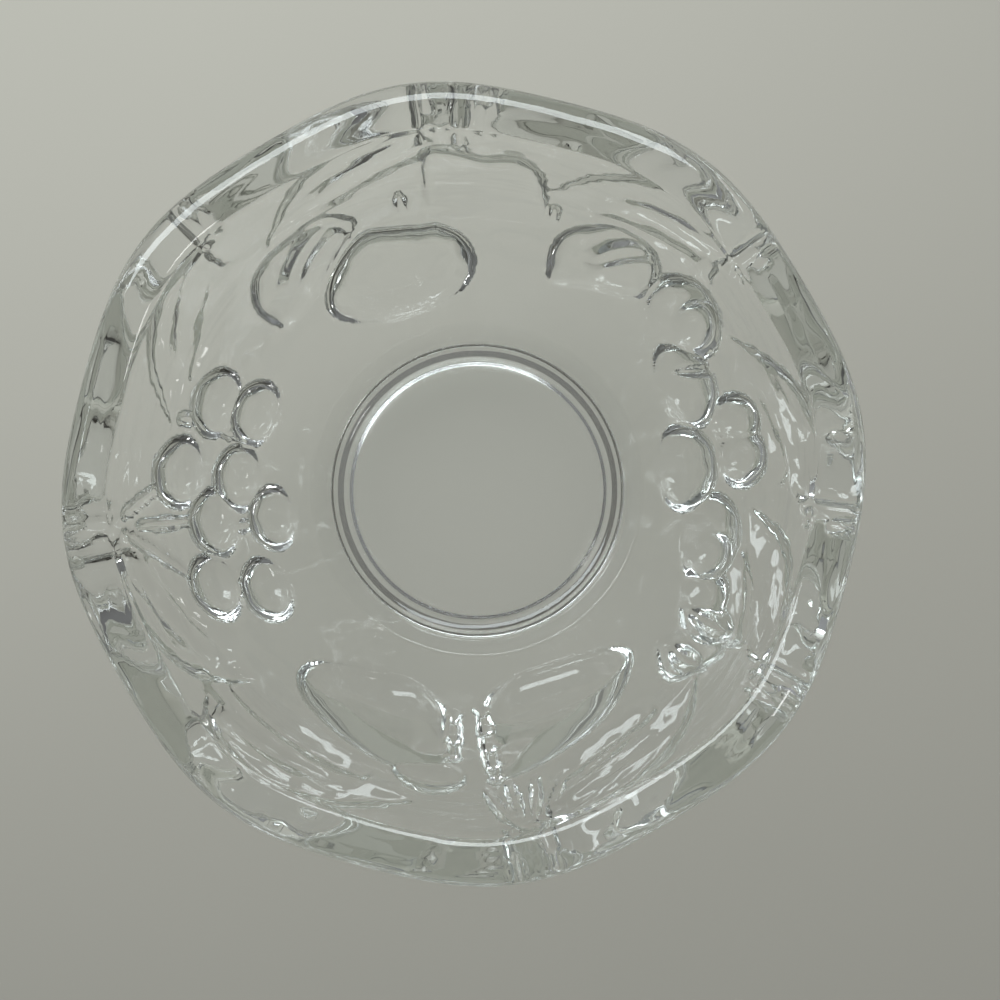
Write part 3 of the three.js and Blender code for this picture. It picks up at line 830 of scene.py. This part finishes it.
def floor_paint(settings):
    """A plain pale matt floor with the faintest mottling."""
    material = bpy.data.materials.new("plain_floor")
    s = Shader(material)
    mottle = s.noise(s.node("ShaderNodeTexCoord", output="Object"), 1 / settings.mottle_size, 3)
    darker = tuple(part * settings.floor_shade for part in settings.floor_tint)
    tint = s.node(
        "ShaderNodeMix", {0: mottle, 6: (*darker, 1), 7: (*settings.floor_tint, 1)}, {"data_type": "RGBA"}, 2)
    paint = s.node("ShaderNodeBsdfPrincipled", {
        "Base Color": tint,
        "Roughness": settings.floor_roughness,
        "Specular IOR Level": settings.floor_gloss,
    })
    s.node("ShaderNodeOutputMaterial", {"Surface": paint})
    return material


def room(settings):
    """The light of a room with one bright side."""
    world = bpy.data.worlds.new("room")
    s = Shader(world)
    way = s.node("ShaderNodeTexCoord", output="Generated")
    toward = s.node(
        "ShaderNodeVectorMath", {0: way, 1: Vector(settings.room_way).normalized()},
        {"operation": "DOT_PRODUCT"}, "Value")
    share = s.node("ShaderNodeMapRange", {
        "Value": toward, "From Min": settings.room_dark_share * 2 - 1, "From Max": 1})
    tint = s.node(
        "ShaderNodeMix", {0: share, 6: (*settings.room_dark, 1), 7: (*settings.room_bright, 1)},
        {"data_type": "RGBA"}, 2)
    s.node("ShaderNodeOutputWorld", {
        "Surface": s.node("ShaderNodeBackground", {"Color": tint, "Strength": settings.sky})})
    return world


def area_light(name, power, size, place, tint):
    """A soft rectangular light at place, turned to the bowl."""
    data = bpy.data.lights.new(name, "AREA")
    data.shape = "RECTANGLE"
    data.size, data.size_y = size
    data.energy = power
    data.color = tint
    lamp = bpy.data.objects.new(name, data)
    bpy.context.scene.collection.objects.link(lamp)
    lamp.location = place
    lamp.rotation_euler = (-Vector(place)).to_track_quat("-Z", "Y").to_euler()


class CANDLE_OT_stage(Operator):
    """Makes the floor, the lights and the room light"""

    bl_idname = "candle.stage"
    bl_label = "Stage"

    def execute(self, context):
        settings = context.scene.candle_holder_stage
        deselect_all()
        bpy.ops.mesh.primitive_plane_add(size=settings.floor_size, location=(0, 0, 0))
        floor = context.active_object
        floor.name = "floor"
        floor.data.materials.append(floor_paint(settings))
        area_light("window", settings.window_power, settings.window_size, settings.window_place,
                   settings.window_tint)
        area_light("lamp", settings.lamp_power, settings.lamp_size, settings.lamp_place, settings.lamp_tint)
        context.scene.world = room(settings)
        context.scene.view_settings.view_transform = "Standard"
        return {"FINISHED"}


class CANDLE_OT_camera(Operator):
    """Sets the camera over the bowl, as the photograph was taken"""

    bl_idname = "candle.camera"
    bl_label = "Camera"

    def execute(self, context):
        settings = context.scene.candle_holder_stage
        data = bpy.data.cameras.new("camera")
        data.lens = settings.lens
        data.sensor_width = settings.sensor
        data.clip_start = settings.nearest
        camera = bpy.data.objects.new("camera", data)
        context.scene.collection.objects.link(camera)
        place = Vector(settings.camera_place)
        forward = (Vector(settings.camera_aim) - place).normalized()
        right = forward.cross(Vector((0, 1, 0))).normalized()
        camera.matrix_world = matrix_of(right, right.cross(forward), -forward, place)
        context.scene.camera = camera
        return {"FINISHED"}


def matrix_of(right, up, back, place):
    """The world matrix of an object with those axes at that place."""
    matrix = Matrix((right, up, back)).transposed().to_4x4()
    matrix.translation = place
    return matrix


class CANDLE_PT_panel(Panel):
    """Lists the steps in the sidebar."""

    bl_idname = "CANDLE_PT_panel"
    bl_label = "Candle holder"
    bl_space_type = "VIEW_3D"
    bl_region_type = "UI"
    bl_category = "Candle Holder"

    def draw(self, context):
        for operator in (CANDLE_OT_glass, CANDLE_OT_stage, CANDLE_OT_camera):
            self.layout.operator(operator.bl_idname)


CLASSES = (
    BowlSizes, ReliefSizes, GlassFinish, StageSettings,
    CANDLE_OT_glass, CANDLE_OT_stage, CANDLE_OT_camera, CANDLE_PT_panel,
)


def register():
    for cls in CLASSES:
        bpy.utils.register_class(cls)
    bpy.types.Scene.candle_holder_bowl = PointerProperty(type=BowlSizes)
    bpy.types.Scene.candle_holder_relief = PointerProperty(type=ReliefSizes)
    bpy.types.Scene.candle_holder_finish = PointerProperty(type=GlassFinish)
    bpy.types.Scene.candle_holder_stage = PointerProperty(type=StageSettings)


def unregister():
    del bpy.types.Scene.candle_holder_stage
    del bpy.types.Scene.candle_holder_finish
    del bpy.types.Scene.candle_holder_relief
    del bpy.types.Scene.candle_holder_bowl
    for cls in reversed(CLASSES):
        bpy.utils.unregister_class(cls)


def main():
    register()
    bpy.ops.candle.camera()
    bpy.ops.candle.stage()
    bpy.ops.candle.glass()


if __name__ == "__main__":
    main()
